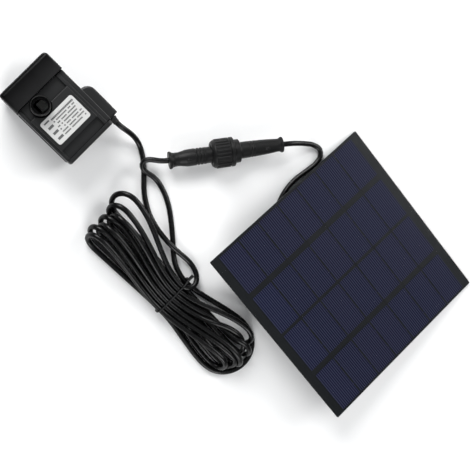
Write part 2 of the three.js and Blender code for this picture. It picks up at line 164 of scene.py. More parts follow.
# The surface shader's sockets, under the names that Finish.set takes
surfaceInputs = {"baseColor": "Base Color", "roughness": "Roughness", "metallic": "Metallic",
                 "specular": "Specular IOR Level", "normal": "Normal", "alpha": "Alpha"}


class Finish(Graph):
    def __init__(self, name):
        self.material = bpy.data.materials.new(name)
        self.material.use_nodes = True
        super().__init__(self.material.node_tree)
        self.shader = self.tree.nodes["Principled BSDF"]

    def set(self, **values):
        for name, value in values.items():
            self.feed(self.shader.inputs[surfaceInputs[name]], value)

    def place(self):
        return self.node("ShaderNodeTexCoord", {}, {}, "Object")

    def noise(self, scale, detail=2.0, distortion=0.0):
        inputs = {"Vector": self.place(), "Scale": scale, "Detail": detail, "Distortion": distortion}
        return self.node("ShaderNodeTexNoise", {}, inputs)

    def mix(self, share, first, second):
        settings = {"data_type": "RGBA", "blend_type": "MIX"}
        return self.node("ShaderNodeMix", settings, {0: share, 6: first, 7: second}, 2)

    # distance in millimetres from an origin along a direction
    def along(self, direction, origin):
        settings = {"operation": "DOT_PRODUCT"}
        reach = self.node("ShaderNodeVectorMath", settings, {0: self.place(), 1: direction}, "Value")
        return reach / mm - Vector(direction).dot(Vector(origin)) / mm

    # a soft step that is 0 below the edge and 1 above it
    def ramp(self, value, low, high):
        inputs = {"Value": value, "From Min": low, "From Max": high}
        return self.node("ShaderNodeMapRange", {"clamp": True}, inputs)

    def bump(self, height, depth, below=None):
        inputs = {"Height": height, "Distance": depth, "Strength": 1.0}
        if below is not None:
            inputs["Normal"] = below
        return self.node("ShaderNodeBump", {}, inputs)


def shade(colour, factor):
    return tuple(min(1.0, channel * factor) for channel in colour)


# Moulded plastic: a soft cloudy tone, a fine spark-eroded grain and faint rubbed patches
def mouldedPlastic(name, colour, roughness, grain=2600, depth=0.00002, specular=0.5):
    finish = Finish(name)
    cloud = finish.noise(45, 3, 0.4)
    speck = finish.noise(grain, 2)
    rubbed = finish.ramp(finish.noise(16, 4, 1.2), 0.52, 0.7)
    tone = finish.mix(cloud, shade(colour, 0.72), shade(colour, 1.3))
    finish.set(
        baseColor=finish.mix(rubbed * 0.35, tone, shade(colour, 1.7)),
        roughness=roughness + (cloud - 0.5) * 0.1 - rubbed * 0.05 + (speck - 0.5) * 0.08,
        normal=finish.bump(speck, depth),
        specular=specular,
    )
    return finish.material


# Soft black jacket: glossy along its length, with slow waves from the winding
def cableJacket(name, colour, roughness, specular=0.35):
    finish = Finish(name)
    wave = finish.noise(140, 2, 0.3)
    speck = finish.noise(1800, 3)
    finish.set(
        baseColor=finish.mix(wave, shade(colour, 0.7), shade(colour, 1.35)),
        roughness=roughness + (wave - 0.5) * 0.12 + (speck - 0.5) * 0.1,
        normal=finish.bump(speck, 0.00001, finish.bump(wave, 0.00012)),
        specular=specular,
    )
    return finish.material


def metal(name, colour, roughness):
    finish = Finish(name)
    speck = finish.noise(900, 4, 0.6)
    stain = finish.noise(120, 3)
    finish.set(
        baseColor=finish.mix(stain, shade(colour, 0.7), shade(colour, 1.15)),
        roughness=roughness + (speck - 0.5) * 0.2,
        normal=finish.bump(speck, 0.00001),
        metallic=1.0,
    )
    return finish.material


# Fine lines across one direction: windings, stacked laminations
def lined(name, colour, gapColour, direction, pitch, roughness, metallic):
    finish = Finish(name)
    phase = (finish.along(direction, (0, 0, 0)) / pitch) % 1.0
    ridge = 1.0 - abs(phase - 0.5) * 2.0
    finish.set(
        baseColor=finish.mix(finish.ramp(ridge, 0.05, 0.4), gapColour, colour),
        roughness=roughness + (finish.noise(400, 3) - 0.5) * 0.2,
        normal=finish.bump(ridge, 0.00012),
        metallic=metallic,
    )
    return finish.material


shellFinish = mouldedPlastic("shellPlastic", (0.0052, 0.0053, 0.0057), 0.4)
nozzleFinish = mouldedPlastic("nozzlePlastic", (0.0018, 0.0018, 0.002), 0.38, 2000, 0.000012, 0.28)
connectorFinish = mouldedPlastic("connectorPlastic", (0.0034, 0.0034, 0.0036), 0.46, 3200,
                                 specular=0.24)
boxFinish = mouldedPlastic("boxPlastic", (0.008, 0.008, 0.0084), 0.48)
rubberFinish = mouldedPlastic("softRubber", (0.0045, 0.0045, 0.0048), 0.55, 1500, specular=0.35)
jacketFinish = cableJacket("cableJacket", (0.0016, 0.0016, 0.0018), 0.27, 0.27)
tieFinish = cableJacket("tieCoating", (0.007, 0.007, 0.0073), 0.4)
print("plastic finishes made")


# Mesh helpers. Outlines run anticlockwise, and rings of equal length are joined into a skin.

def meshFrom(work, name):
    bmesh.ops.remove_doubles(work, verts=work.verts, dist=1e-5)
    bmesh.ops.recalc_face_normals(work, faces=work.faces)
    mesh = bpy.data.meshes.new(name)
    work.to_mesh(mesh)
    work.free()
    return mesh


def skin(rings, name, closed=False):
    work = bmesh.new()
    rows = [[work.verts.new(point) for point in ring] for ring in rings]
    pairs = list(zip(rows, rows[1:]))
    if closed:
        pairs.append((rows[-1], rows[0]))
    for low, high in pairs:
        for i in range(len(low)):
            j = (i + 1) % len(low)
            work.faces.new((low[i], low[j], high[j], high[i]))
    if not closed:
        work.faces.new(list(reversed(rows[0])))
        work.faces.new(rows[-1])
    return meshFrom(work, name)


def roundedRing(low, high, radii, z, steps=6):
    corners = (
        (low[0], low[1], 180, radii[0]), (high[0], low[1], 270, radii[1]),
        (high[0], high[1], 0, radii[2]), (low[0], high[1], 90, radii[3]),
    )
    ring = []
    for x, y, start, radius in corners:
        middleX = x + radius if start in (180, 90) else x - radius
        middleY = y + radius if start in (180, 270) else y - radius
        for i in range(steps + 1):
            angle = math.radians(start + 90 * i / steps)
            ring.append((middleX + radius * math.cos(angle), middleY + radius * math.sin(angle), z))
    return ring


# A slab with rounded corners in plan and softened top and bottom edges.
# sides scales the inset of the edge on -X, -Y, +X and +Y.
def slab(name, low, high, radii, top=0.5, bottom=0.3, sides=(1, 1, 1, 1), steps=5):
    levels = []
    for i in range(steps + 1):
        angle = math.pi / 2 * i / steps
        levels.append((bottom * (1 - math.sin(angle)), low[2] + bottom * (1 - math.cos(angle))))
    for i in range(steps + 1):
        angle = math.pi / 2 * i / steps
        levels.append((top * (1 - math.cos(angle)), high[2] - top * (1 - math.sin(angle))))
    rings = []
    for inset, z in levels:
        corner = [max(radius - inset, 0.04) for radius in radii]
        ringLow = (low[0] + inset * sides[0], low[1] + inset * sides[1])
        ringHigh = (high[0] - inset * sides[2], high[1] - inset * sides[3])
        rings.append(roundedRing(ringLow, ringHigh, corner, z))
    return skin(rings, name)


# Each corner of a profile becomes a small arc, so that turned parts catch the light
def softened(profile, radius, steps=3):
    points = [Vector(p) for p in profile]
    soft = [points[0]]
    for before, corner, after in zip(points, points[1:], points[2:]):
        reach = min(radius, (before - corner).length * 0.45, (after - corner).length * 0.45)
        start = corner + (before - corner).normalized() * reach
        end = corner + (after - corner).normalized() * reach
        for i in range(steps + 1):
            t = i / steps
            soft.append(start * (1 - t) ** 2 + corner * 2 * t * (1 - t) + end * t ** 2)
    return soft + [points[-1]]


# A solid of revolution about +X from (radius, distance) pairs
def turned(name, profile, soft=0.25, segments=56, closed=False):
    rings = []
    for radius, distance in softened(profile, soft):
        ring = []
        for i in range(segments):
            angle = 2 * math.pi * i / segments
            ring.append((distance, radius * math.cos(angle), radius * math.sin(angle)))
        rings.append(ring)
    return skin(rings, name, closed)


def combine(base, steps):
    scene = bpy.context.scene.collection
    holder = bpy.data.objects.new("holder", base)
    scene.objects.link(holder)
    tools = []
    for operation, mesh in steps:
        tool = bpy.data.objects.new("tool", mesh)
        scene.objects.link(tool)
        tools.append(tool)
        modifier = holder.modifiers.new("combine", "BOOLEAN")
        modifier.operation = operation
        modifier.solver = "EXACT"
        modifier.object = tool
    graph = bpy.context.evaluated_depsgraph_get()
    result = bpy.data.meshes.new_from_object(holder.evaluated_get(graph))
    for spare in [holder, *tools]:
        bpy.data.objects.remove(spare)
    return result


def moved(mesh, x=0.0, y=0.0, z=0.0, turn=None):
    if turn is not None:
        mesh.transform(turn)
    mesh.transform(Matrix.Translation((x, y, z)))
    return mesh


upright = Matrix.Rotation(-math.pi / 2, 4, "Y")     # a part turned about +X, stood up along +Z


def addPiece(name, mesh, place, finish, body, replaced=(), sharp=34):
    mesh.transform(place)
    mesh.name = name
    mesh.materials.clear()
    mesh.materials.append(finish)
    mesh.polygons.foreach_set("use_smooth", [True] * len(mesh.polygons))
    mesh.set_sharp_from_angle(angle=math.radians(sharp))
    piece = bpy.data.objects.new(name, mesh)
    bpy.context.scene.collection.objects.link(piece)
    normals = piece.modifiers.new("evenNormals", "WEIGHTED_NORMAL")
    normals.keep_sharp = True
    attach(piece, body)
    if replaced:
        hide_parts(*replaced)
    return piece


# Cable routes. Free stretches are lists of points, and the hank's turns are worked out.

cable = {"diameter": 0.0038, "spacing": 0.0018, "floor": 0.0019}

pumpRoute = [
    (-0.1046, -0.0383, 0.014), (-0.1021, -0.0383, 0.014), (-0.0986, -0.0382, 0.0138),
    (-0.0935, -0.037, 0.0114), (-0.0875, -0.0362, 0.007), (-0.0816, -0.0369, 0.0034),
    (-0.0764, -0.0394, 0.0021), (-0.0712, -0.043, 0.002), (-0.0663, -0.0474, 0.002),
    (-0.0618, -0.052, 0.002), (-0.0572, -0.0566, 0.002), (-0.0506, -0.0618, 0.002),
    (-0.0412, -0.0668, 0.002), (-0.0312, -0.0698, 0.0036), (-0.0236, -0.071, 0.0058),
    (-0.0164, -0.0714, 0.0062), (-0.008, -0.071, 0.0044), (0.0004, -0.0706, 0.0028),
    (0.0076, -0.072, 0.0032), (0.0122, -0.0752, 0.0048), (0.0144, -0.0792, 0.006),
    (0.0136, -0.0828, 0.007), (0.0112, -0.0853, 0.0071),
]

plugRoute = [
    (-0.0585, -0.0298, 0.0103), (-0.0598, -0.0315, 0.0103), (-0.0612, -0.0332, 0.0103),
    (-0.0636, -0.0356, 0.0102), (-0.0666, -0.0381, 0.01), (-0.0695, -0.0403, 0.0095),
    (-0.0708, -0.0419, 0.009), (-0.0711, -0.0439, 0.0084), (-0.0703, -0.0458, 0.0077),
    (-0.0687, -0.047, 0.007), (-0.0668, -0.0473, 0.0063), (-0.0646, -0.0471, 0.0059),
    (-0.0618, -0.0466, 0.0047), (-0.0583, -0.046, 0.0031), (-0.0538, -0.0461, 0.0021),
    (-0.0481, -0.0476, 0.002), (-0.0411, -0.0505, 0.002), (-0.0339, -0.0549, 0.002),
    (-0.0252, -0.0617, 0.002), (-0.0168, -0.069, 0.002), (-0.011, -0.0742, 0.0021),
    (-0.0062, -0.0781, 0.0028),
]

panelRoute = [
    (0.0588, -0.0295, 0.0105), (0.0563, -0.0293, 0.0104), (0.0512, -0.0285, 0.0094),
    (0.043, -0.0254, 0.0062), (0.0344, -0.0194, 0.0034), (0.0268, -0.0114, 0.0022),
    (0.0208, -0.0022, 0.002), (0.0168, 0.0074, 0.002), (0.0149, 0.0164, 0.002),
    (0.0148, 0.025, 0.002), (0.0162, 0.0334, 0.002), (0.0174, 0.0416, 0.002),
    (0.0164, 0.0484, 0.002), (0.0122, 0.052, 0.002), (0.0066, 0.0506, 0.0029),
    (0.0009, 0.0462, 0.0056), (-0.0046, 0.0408, 0.0088), (-0.0089, 0.0359, 0.0102),
    (-0.0108, 0.0334, 0.0103), (-0.0122, 0.0315, 0.0103),
]

hank = {
    "waist": 0.0076,                      # the tie draws the turns together here
    "turns": 7,
    "firstRow": -0.0862, "rowPitch": 0.0037,
    "lower": 0.003, "upper": 0.0068,      # the two layers under the tie
    "left": {"row": -0.1094, "pitch": 0.0046,
             "tips": (-0.0688, -0.0655, -0.0605, -0.0642, -0.0615, -0.0648, -0.0625),
             "widths": (0.0205, 0.016, 0.0175, 0.0152, 0.017, 0.0148, 0.0158),
             "leans": (42, 50, 60, 47, 62, 52, 60)},
    "right": {"row": -0.1113, "pitch": 0.0047,
              "tips": (0.0705, 0.0758, 0.0712, 0.0765, 0.0735, 0.07),
              "widths": (0.0175, 0.0155, 0.0182, 0.0152, 0.0168, 0.0152),
              "leans": (48, 60, 46, 62, 50, 57)},
    "wrap": {"near": -0.1152, "far": -0.0745, "tip": 0.0807, "end": -0.0825},
}


def foldPoints(start, end, first, second, tip):
    radius = math.dist(first, second) / 2
    side = math.copysign(1, tip - hank["waist"])
    turnX = tip - side * radius
    middle = [(a + b) / 2 for a, b in zip(first, second)]
    points = []

    def strand(waistEnd, lobeEnd, shares):
        for share in shares:
            ease = share * share * (3 - 2 * share)
            x = hank["waist"] + (turnX - hank["waist"]) * share
            points.append((x, *(a + (b - a) * ease for a, b in zip(waistEnd, lobeEnd))))

    strand(start, first, (0, 0.2, 0.4, 0.6, 0.8, 1))
    for degrees in (36, 72, 108, 144):
        angle = math.radians(degrees)
        across = [m + (a - m) * math.cos(angle) for a, m in zip(first, middle)]
        points.append((turnX + side * radius * math.sin(angle), *across))
    strand(end, second, (1, 0.8, 0.6, 0.4, 0.2))
    return points


# where a turn's two strands run in a lobe: one on the table, one leaning above it
def leaningPair(lobe, k, last):
    low = (lobe["row"] + lobe["pitch"] * (last - k), cable["floor"])
    angle, width = math.radians(lobe["leans"][k]), lobe["widths"][k]
    return low, (low[0] + width * math.cos(angle), low[1] + width * math.sin(angle))


def hankPoints():
    last = hank["turns"] - 1
    rows = [hank["firstRow"] - hank["rowPitch"] * k for k in range(hank["turns"])]
    left, right, wrap = hank["left"], hank["right"], hank["wrap"]
    points = []
    for k, row in enumerate(rows):
        low, high = leaningPair(left, k, last)
        points += foldPoints((row, hank["upper"]), (row, hank["lower"]), high, low, left["tips"][k])
        if k < last:
            low, high = leaningPair(right, k, last - 1)
            points += foldPoints(
                (row, hank["lower"]), (rows[k + 1], hank["upper"]), low, high, right["tips"][k])
    floor = cable["floor"]
    points += foldPoints((rows[last], hank["lower"]), (wrap["end"], hank["lower"]),
                         (wrap["near"], floor), (wrap["far"], floor), wrap["tip"])
    return points + [(hank["waist"], wrap["end"], hank["lower"])]


def evenly(line, spacing):
    line = np.array(line, float)
    reach = np.concatenate([[0], np.cumsum(np.linalg.norm(np.diff(line, axis=0), axis=1))])
    places = np.linspace(0, reach[-1], max(2, round(reach[-1] / spacing)))
    return np.stack([np.interp(places, reach, line[:, axis]) for axis in range(3)], axis=1)


# A centripetal curve through the points, at an even spacing
def smoothLine(points, spacing):
    knots = np.array(points, float)
    knots = np.vstack([2 * knots[0] - knots[1], knots, 2 * knots[-1] - knots[-2]])
    line = []
    for four in zip(knots, knots[1:], knots[2:], knots[3:]):
        times = [0.0]
        for a, b in zip(four, four[1:]):
            times.append(times[-1] + math.sqrt(np.linalg.norm(b - a)))
        for t in np.linspace(times[1], times[2], 12, endpoint=False):
            level = list(four)
            for span in (1, 2, 3):
                starts = times[:4 - span] if span < 3 else times[1:2]
                ends = times[span:] if span < 3 else times[2:3]
                level = [
                    a * (e - t) / (e - s) + b * (t - s) / (e - s)
                    for a, b, s, e in zip(level, level[1:], starts, ends)
                ]
            line.append(level[0])
    line.append(knots[-2])
    return evenly(line, spacing)


# Shares of each correction that one settling round makes
settling = {"rounds": 240, "lookAgain": 8, "neighbours": 6, "reach": 1.5,
            "push": 0.3, "bend": 0.05, "pull": 0.4, "home": 0.012}


# Lets the cable settle: strands push each other apart, bends ease and nothing sinks below the floor
def settle(line):
    rest = line.copy()
    diameter = cable["diameter"]
    spans = np.linalg.norm(np.diff(line, axis=0), axis=1)
    ends = line[[0, 1, -2, -1]].copy()
    for step in range(settling["rounds"]):
        if step % settling["lookAgain"] == 0:
            apart = np.linalg.norm(line[:, None] - line[None], axis=2)
            near = apart < settling["reach"] * diameter
            first, second = np.nonzero(np.triu(near, settling["neighbours"]))
        between = line[second] - line[first]
        distance = np.linalg.norm(between, axis=1) + 1e-9
        overlap = np.clip(diameter - distance, 0, None)
        push = between * (overlap * settling["push"] / distance)[:, None]
        np.add.at(line, first, -push)
        np.add.at(line, second, push)
        bend = line[:-4] - 4 * line[1:-3] + 6 * line[2:-2] - 4 * line[3:-1] + line[4:]
        line[2:-2] -= bend * settling["bend"]
        for parity in (0, 1):
            i = np.arange(parity, len(line) - 1, 2)
            reach = line[i + 1] - line[i]
            length = np.linalg.norm(reach, axis=1)
            pull = reach * ((length - spans[i]) / length * settling["pull"])[:, None]
            line[i] += pull
            line[i + 1] -= pull
        line += (rest - line) * settling["home"]
        line[:, 2] = np.maximum(line[:, 2], cable["floor"])
        line[[0, 1, -2, -1]] = ends
    return line


def lineLength(line):
    return float(np.linalg.norm(np.diff(line, axis=0), axis=1).sum())


def cableCurve(name, line, body, replaced):
    data = bpy.data.curves.new(name, "CURVE")
    data.dimensions = "3D"
    data.twist_mode = "MINIMUM"
    data.bevel_depth = cable["diameter"] / 2
    data.bevel_resolution = 4
    data.use_fill_caps = True
    spline = data.splines.new("POLY")
    spline.points.add(len(line) - 1)
    for point, place in zip(spline.points, line):
        point.co = (*place, 1)
    spline.use_smooth = True
    data.materials.append(jacketFinish)
    piece = bpy.data.objects.new(name, data)
    bpy.context.scene.collection.objects.link(piece)
    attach(piece, body)
    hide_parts(*replaced)
    return piece


pumpLine = settle(smoothLine(pumpRoute + hankPoints() + plugRoute[::-1], cable["spacing"]))
panelLine = smoothLine(panelRoute, cable["spacing"])
pumpCable = cableCurve("pumpCable", pumpLine, "pump", ("pump_lead", "cable_hank", "plug_lead"))
panelCable = cableCurve("panelCable", panelLine, "panel", ("panel_lead",))
print("cables laid:", round(lineLength(pumpLine), 3), "m and", round(lineLength(panelLine), 3), "m")


# Twist tie: a coated wire round the waist of the hank, its ends twisted together

tie = {"radius": 0.62, "low": 0.75, "high": 9.5, "near": -111.1, "far": -79.7,
       "bow": 1.6, "twistLength": 4.2, "twists": 2.2}


def tube(name, line, radius, sides=12):
    line = [Vector(point) for point in line]
    rings = []
    side = Vector((1, 0, 0))
    for i, point in enumerate(line):
        ahead = (line[min(i + 1, len(line) - 1)] - line[max(i - 1, 0)]).normalized()
        side = (side - ahead * side.dot(ahead)).normalized()
        other = ahead.cross(side)
        rings.append([
            point + side * radius * math.cos(a) + other * radius * math.sin(a)
            for a in (2 * math.pi * k / sides for k in range(sides))
        ])
    return skin(rings, name)


def tieLine():
    x = hank["waist"] / mm
    middle = (tie["near"] + tie["far"]) / 2
    half = (tie["far"] - tie["near"]) / 2
    rise = (tie["high"] - tie["low"]) / 2
    points = []
    for i in range(3, 62):                       # once round, from the knob and back to it
        angle = 2 * math.pi * i / 64 + 0.5
        y = math.copysign(abs(math.cos(angle)) ** 0.32, math.cos(angle))
        z = math.copysign(abs(math.sin(angle)) ** 0.5, math.sin(angle))
        lift = max(0.0, math.sin(angle))
        points.append((x + tie["bow"] * lift, middle + half * y, tie["low"] + rise * (1 + z)))
    return points


def tieTail(phase):
    x, z = hank["waist"] / mm + 0.8, tie["high"] - 1.6
    points = []
    for i in range(25):
        share = i / 24
        angle = 2 * math.pi * (tie["twists"] * share) + phase
        points.append((
            x + 0.6 * math.cos(angle), tie["far"] - 0.6 + tie["twistLength"] * share,
            z + 0.6 * math.sin(angle) + 0.9 * share,
        ))
    return points


tieParts = [tube("tail", tieTail(phase), tie["radius"] * 0.95) for phase in (0, math.pi)]
tieMesh = combine(tube("band", tieLine(), tie["radius"]), [("UNION", part) for part in tieParts])
twistTie = addPiece("twistTie", tieMesh, toMetres, tieFinish, "pump", ("twist_tie",), 60)
print("tie made")


# Pump, in its own frame: X along it from the strainer, Y across it, Z up

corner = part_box("strainer_cover")[0]
pumpPlace = Matrix.Translation((corner.x, corner.y, 0)) @ toMetres

pump = {
    "width": 41.0, "base": 4.0, "hoodEnd": 15.2, "hoodTop": 33.0, "front": 15.5,
    "left": 0.6, "right": 40.4, "rear": 59.4,
    "shelf": 28.2, "rearStep": 28.0, "blockTop": 31.5, "blockStart": 25.2, "blockEnd": 52.2,
    "leftRail": (3.2, 29.2), "rightRail": (34.5, 37.2, 30.2), "rightStrip": 28.8,
    "rotorY": 20.5, "rotorZ": 16.0,
}

cableHousing = {"start": 32.0, "out": 47.6, "bottom": 9.5, "top": 18.5, "axis": 42.4, "hole": 2.6}

nozzle = {"x": 22.8, "y": 13.8, "bore": 5.5, "outer": 6.5, "collar": 7.1, "throat": 4.6, "top": 40.2,
          "scoop": 7.5}


def rotorBore(radius, start, end):
    profile = ((0, start), (radius, start), (radius, end), (0, end))
    return moved(turned("bore", profile, 0.02), y=pump["rotorY"], z=pump["rotorZ"])


def uprightBore(radius, start, end):
    profile = ((0, start), (radius, start), (radius, end), (0, end))
    return moved(turned("bore", profile, 0.02), nozzle["x"], nozzle["y"], 0, upright)


# a cutter that scoops the block out round the nozzle
def nozzleScoop():
    top = pump["shelf"]
    profile = ((0, top), (nozzle["scoop"] - 0.8, top), (nozzle["scoop"], top + 0.8),
               (nozzle["scoop"], 40), (0, 40))
    return moved(turned("scoop", profile, 0.4), nozzle["x"], nozzle["y"], 0, upright)


def pumpShell():
    front, rear, left, right, base = (pump[k] for k in ("front", "rear", "left", "right", "base"))
    railIn, railTop = pump["leftRail"]
    innerRail, outerRail, rightTop = pump["rightRail"]
    small = (0.8, 0.8, 0.8, 0.8)
    box = cableHousing
    add = [
        slab("leftRail", (front, left, base), (rear, railIn, railTop), small, 0.7),
        slab("rightRail", (front, innerRail, base), (rear, outerRail, rightTop), small, 0.7),
        slab("strip", (front, outerRail - 1, base), (rear, right, pump["rightStrip"]), small, 0.8),
        slab("block", (pump["blockStart"], railIn - 0.6, base + 2),
             (pump["blockEnd"], innerRail + 0.6, pump["blockTop"]), small, 0.6),
        slab("skirt", (front, 0, base), (rear, pump["width"], 7), small, 0.6),
        slab("cableHousing", (box["start"], right - 3, box["bottom"]),
             (rear, box["out"], box["top"]), (0.5, 0.5, 0.9, 6.5), 1.5, 1.0),
    ]
    cavity = slab("cavity", (28.5, 3, 5.6), (rear + 1, 38, 25.8), small, 0.3)
    pocket = rotorBore(8.4, 27, 48.5)
    hole = moved(turned("hole", ((0, rear - 5), (box["hole"], rear - 5), (box["hole"], rear + 1),
                                 (0, rear + 1)), 0.02), y=box["axis"], z=14)
    cut = [
        rotorBore(10.8, front - 1, 18.5), rotorBore(9.5, 18, 27), rotorBore(7.2, 26.5, 47),
        uprightBore(nozzle["throat"], 16, 33), nozzleScoop(), hole,
    ]
    core = slab("core", (front, left, base), (rear, right, pump["rearStep"]), small, 0.4)
    shelf = slab("shelf", (front, left + 0.4, base), (pump["blockStart"] + 2, right - 0.4,
                                                     pump["shelf"]), small, 0.4)
    return combine(core, [
        ("UNION", shelf), *(("UNION", part) for part in add), ("DIFFERENCE", cavity),
        ("UNION", pocket), *(("DIFFERENCE", part) for part in cut),
    ])


addPiece("pumpShell", pumpShell(), pumpPlace, shellFinish, "pump", ("pump_housing",))

rearLid = {"start": 59.42, "end": 62.3, "y": (0.6, 39.2), "z": (4.0, 30.6)}


# The rear lid is a slab stood on edge, with its outer edge rounded over
def rearLidMesh():
    low = (rearLid["y"][0], rearLid["z"][0], rearLid["start"])
    high = (rearLid["y"][1], rearLid["z"][1], rearLid["end"])
    mesh = slab("rearLid", low, high, (2, 2, 2, 2), 1.3, 0.1)
    mesh.transform(Matrix(((0, 0, 1, 0), (1, 0, 0, 0), (0, 1, 0, 0), (0, 0, 0, 1))))
    return mesh


addPiece("rearLid", rearLidMesh(), pumpPlace, shellFinish, "pump", ("rear_cover",))

hood = {
    "wall": 1.6, "edge": 3.4, "corners": (1.6, 3.0),
    "slots": 7, "slotPitch": 4.8, "slotWidth": 2.0, "slotBottom": 8.0, "slotTop": 25.0,
    # painted shade colour for the front slopes and painted lit colour for the top behind them
    "paintedShadeTone": (0.0005, 0.0005, 0.0006), "paintedLitTone": (0.012, 0.012, 0.0125), "shine": 0.12,
}


# Painted shade: the colour is nearly black and glossy at the front and greyer and duller towards the
# housing; the dark front stands in for shade on the rounded front slopes
def hoodFinish():
    finish = Finish("hoodPlastic")
    reach = finish.along((1, 0, 0), corner)
    cloud = finish.noise(60, 3, 0.6)
    # fade blends the painted shade of the front into the painted lit tone of the top, with a cloudy
    # border
    fade = finish.ramp(reach + (cloud - 0.5) * 7.0, 1.0, pump["hoodEnd"] - 1.0)
    finish.set(
        baseColor=finish.mix(fade, hood["paintedShadeTone"], hood["paintedLitTone"]),
        roughness=0.26 + fade * 0.2 + (cloud - 0.5) * 0.08,
        normal=finish.bump(finish.noise(2000, 2), 0.000012),
        specular=hood["shine"],
    )
    return finish.material


# The hood over the intake: rounded edges in front and on the left, slotted in front
def hoodMesh():
    end, width, base, top = pump["hoodEnd"], pump["width"], pump["base"], pump["hoodTop"]
    wall = hood["wall"]
    outline = (hood["corners"][0], 0.3, 0.3, hood["corners"][1])
    outer = slab("hood", (0, 0, base), (end, width, top), outline, hood["edge"], 0.5,
                 (1, 1, 0, 0.55), 8)
    inside = slab("inside", (wall, wall, base + wall), (end + 4, width - wall, top - 5),
                  (4, 0.3, 0.3, 4), 1, 0.5)
    cut = [("DIFFERENCE", inside)]
    half = hood["slotWidth"] / 2
    for i in range(hood["slots"]):
        y = width / 2 + (i - (hood["slots"] - 1) / 2) * hood["slotPitch"]
        cutter = slab("slot", (-2, y - half, hood["slotBottom"]), (wall + 2, y + half, hood["slotTop"]),
                      (0.2, 0.2, 0.2, 0.2), 0.8, 0.8)
        cut.append(("DIFFERENCE", cutter))
    return combine(outer, cut)


addPiece("strainerHood", hoodMesh(), pumpPlace, hoodFinish(), "strainer",
         ("strainer_cover",))


def nozzleMesh():
    base, top = pump["shelf"] + 0.3, nozzle["top"]
    outer, bore, collar, throat = (nozzle[k] for k in ("outer", "bore", "collar", "throat"))
    profile = (
        (throat, base), (collar, base), (collar, base + 1.7), (outer + 0.1, base + 2.6),
        (outer, top - 1.2), (outer - 0.35, top), (bore + 0.25, top), (bore, top - 0.8),
        (bore, base + 1.7), (throat, base + 1.7),
    )
    mesh = turned("nozzle", profile, 0.2, 64, closed=True)
    return moved(mesh, nozzle["x"], nozzle["y"], 0, upright)


addPiece("outletNozzle", nozzleMesh(), pumpPlace, nozzleFinish, "pump",
         ("outlet_nozzle",))
print("pump shell made")

# Label: blank sticker with rows of grey dashes

label = {"x": (30.5, 48.8), "y": (4.7, 32.9), "z": (31.6, 31.8), "corner": 1.6,
         "rowPitch": 2.05, "dashPitch": 1.15, "barPitch": 4.3,
         "barStart": 2.2, "barEnd": 6.4, "textStart": 7.6, "margin": 1.6}


def labelFinish():
    finish = Finish("labelPaper")
    alongX = finish.along((1, 0, 0), corner) - label["x"][0]
    alongY = finish.along((0, 1, 0), corner) - label["y"][0]
    row = alongX / label["rowPitch"]
    rowPhase = row % 1.0
    word = alongY / label["dashPitch"] + row.floor() * 3.7
    settings = {"noise_dimensions": "2D"}
    join = finish.node("ShaderNodeCombineXYZ", {}, {0: word.floor() * 0.83, 1: row.floor() * 5.1})
    chance = finish.node("ShaderNodeTexWhiteNoise", settings, {"Vector": join})
    thin = (chance > 0.16) * (rowPhase > 0.24) * (rowPhase < 0.7) * (word % 1.0 > 0.12)
    heading = (row < 2.0) * (rowPhase > 0.16) * (rowPhase < 0.8) * (word % 1.0 > 0.1)
    band = alongX / label["barPitch"]
    bars = (band % 1.0 > 0.22) * (band % 1.0 < 0.62) * (alongY > label["barStart"])
    bars = bars * (alongY < label["barEnd"])
    rows = (alongY > label["textStart"]) * (1.0 - (1.0 - thin) * (1.0 - heading))
    printed = 1.0 - (1.0 - bars) * (1.0 - rows)
    length = label["y"][1] - label["y"][0]
    width = label["x"][1] - label["x"][0]
    inside = (alongY > label["margin"]) * (alongY < length - label["margin"])
    inside = inside * (alongX > label["margin"]) * (alongX < width - label["margin"])
    cloud = finish.noise(200, 3)
    paper = finish.mix(cloud, (0.52, 0.52, 0.515), (0.6, 0.6, 0.59))
    finish.set(
        baseColor=finish.mix(printed * inside * 0.88, paper, (0.035, 0.035, 0.037)),
        roughness=0.42 + (cloud - 0.5) * 0.15,
        normal=finish.bump(finish.noise(2500, 2), 0.000008),
    )
    return finish.material


labelMesh = slab("label", (label["x"][0], label["y"][0], label["z"][0]),
                 (label["x"][1], label["y"][1], label["z"][1]), (label["corner"],) * 4, 0.07, 0.03)
addPiece("nameLabel", labelMesh, pumpPlace, labelFinish(), "pump", ("name_label",))


# Suction feet: thin cups with a waist, a button and a soft lip

cup = {"radius": 6.0, "x": (24.0, 53.5), "y": (9.0, 32.0)}


def cupMesh():
    radius = cup["radius"]
    profile = (
        (0, 1.5), (radius - 2.4, 1.15), (radius - 1.0, 0.32), (radius - 0.35, 0.0), (radius, 0.12),
        (radius - 0.1, 0.55), (radius - 2.2, 1.55), (2.7, 2.1), (2.3, 2.5), (2.3, 3.0), (2.6, 3.4),
        (2.4, 3.7), (0, 3.7),
    )
    return moved(turned("cup", profile, 0.15, 44), turn=upright)


for number, (x, y) in enumerate(((x, y) for x in cup["x"] for y in cup["y"]), 1):
    addPiece(f"suctionFoot.{number}", moved(cupMesh(), x, y), pumpPlace, rubberFinish, "pump",
             (f"suction_cup_{number}",))


# Tapered reliefs where the cable enters a housing, with shallow flex rings

def reliefMesh(start, flange, length, tail, plugDepth):
    profile = [(0, start - plugDepth), (flange - 0.5, start - plugDepth), (flange - 0.5, start),
               (flange, start), (flange, start + 1.1)]
    rings = 3
    for i in range(rings):
        share = (i + 1) / (rings + 1)
        middle = start + 1.1 + (length - 1.1) * share
        radius = flange + (tail - flange) * share
        profile += [(radius, middle - 0.35), (radius - 0.3, middle - 0.2), (radius - 0.3, middle + 0.2),
                    (radius - 0.1, middle + 0.35)]
    profile += [(tail, start + length), (0, start + length)]
    return turned("relief", profile, 0.12, 36)


